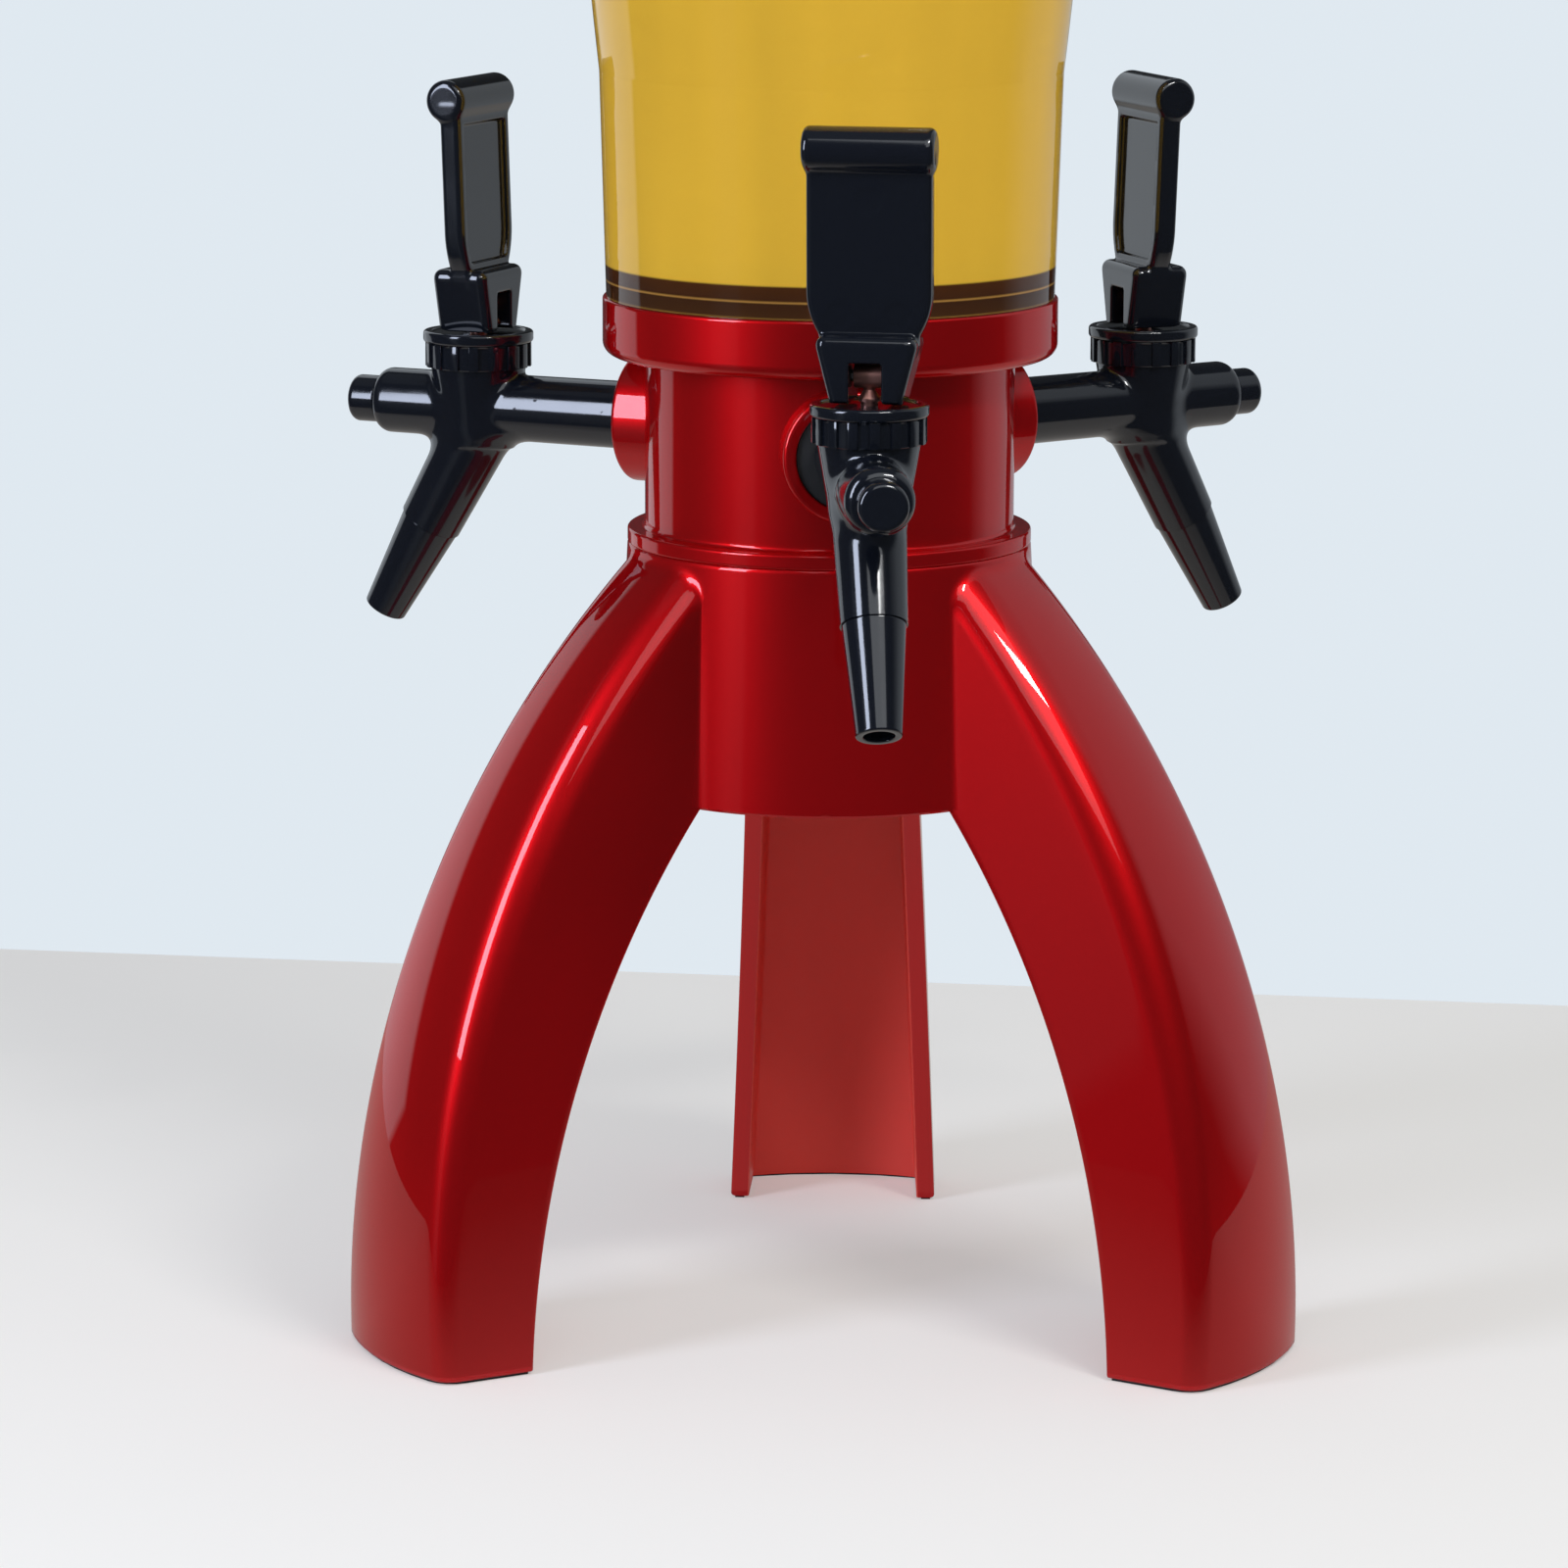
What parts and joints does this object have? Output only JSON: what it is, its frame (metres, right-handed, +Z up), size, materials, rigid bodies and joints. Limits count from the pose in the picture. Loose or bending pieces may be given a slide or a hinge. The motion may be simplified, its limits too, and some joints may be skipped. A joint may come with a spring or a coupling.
{
  "type": "drink tower dispenser",
  "caption": "Table-top drink tower: clear tapered barrel on a round tap ring with spring-closed lever taps, carried by a hub with hollow arched legs.",
  "frame": {"origin": "on the tower's axis, at the level of the table it stands on", "axes": "+Z up along the barrel; -Y towards the front, between the left and right legs"},
  "size_m": [0.3002, 0.3223, 0.6198],
  "materials": {
    "red": "metallic paint",
    "black": "gloss",
    "clear": "clear",
    "rubber": "matt",
    "steel": "turned"
  },
  "bodies": {
    "tower": {"base_stand": "red", "foot_pad_left": "rubber", "foot_pad_right": "rubber", "foot_pad_rear": "rubber", "tap_ring": "red", "barrel": "clear", "barrel_seal": "rubber", "shank_nuts": "black", "tap_body_front": "black", "end_plug_front": "black", "nozzle_front": "black", "gasket_front": "rubber", "bonnet_front": "black", "stem_seal_front": "rubber", "valve_spring_front": "steel", "tap_body_left": "black", "end_plug_left": "black", "nozzle_left": "black", "gasket_left": "rubber", "bonnet_left": "black", "stem_seal_left": "rubber", "valve_spring_left": "steel", "tap_body_right": "black", "end_plug_right": "black", "nozzle_right": "black", "gasket_right": "rubber", "bonnet_right": "black", "stem_seal_right": "rubber", "valve_spring_right": "steel"},
    "lid": {"lid": "red", "lid_knob": "black", "lid_screw": "steel"},
    "stem_front": {"valve_stem_front": "steel", "seat_cup_front": "rubber", "lever_pin_front": "steel"},
    "handle_front": {"lever_front": "black"},
    "stem_left": {"valve_stem_left": "steel", "seat_cup_left": "rubber", "lever_pin_left": "steel"},
    "handle_left": {"lever_left": "black"},
    "stem_right": {"valve_stem_right": "steel", "seat_cup_right": "rubber", "lever_pin_right": "steel"},
    "handle_right": {"lever_right": "black"}
  },
  "joints": [
    {"name": "lid_lift", "type": "slide", "parent": "tower", "child": "lid", "axis": [0, 0, 1], "range_m": [0, 0.12]},
    {"name": "valve_lift_front", "type": "slide", "parent": "tower", "child": "stem_front", "axis": [0, 0, 1], "range_m": [0, 0.0033], "stiffness_N_per_m": 400, "springref_m": -0.006, "deforming": ["valve_spring_front"]},
    {"name": "lever_tip_front", "type": "hinge", "parent": "stem_front", "child": "handle_front", "pos_m": [0.01364, -0.12164, 0.3096], "axis": [0.9888, -0.1495, 0], "range_deg": [0, 38.5]},
    {"name": "valve_lift_left", "type": "slide", "parent": "tower", "child": "stem_left", "axis": [0, 0, 1], "range_m": [0, 0.0033], "stiffness_N_per_m": 400, "springref_m": -0.006, "deforming": ["valve_spring_left"]},
    {"name": "lever_tip_left", "type": "hinge", "parent": "stem_left", "child": "handle_left", "pos_m": [-0.11216, 0.049, 0.3096], "axis": [-0.3681, -0.9298, 0], "range_deg": [0, 38.5]},
    {"name": "valve_lift_right", "type": "slide", "parent": "tower", "child": "stem_right", "axis": [0, 0, 1], "range_m": [0, 0.0033], "stiffness_N_per_m": 400, "springref_m": -0.006, "deforming": ["valve_spring_right"]},
    {"name": "lever_tip_right", "type": "hinge", "parent": "stem_right", "child": "handle_right", "pos_m": [0.09852, 0.07263, 0.3096], "axis": [-0.3649, 0.9311, 0], "range_deg": [0, 38.5]}
  ],
  "couplings": [
    {"joint": "lever_tip_front", "follows": "valve_lift_front", "rad_per_m": 200},
    {"joint": "lever_tip_left", "follows": "valve_lift_left", "rad_per_m": 200},
    {"joint": "lever_tip_right", "follows": "valve_lift_right", "rad_per_m": 200}
  ]
}
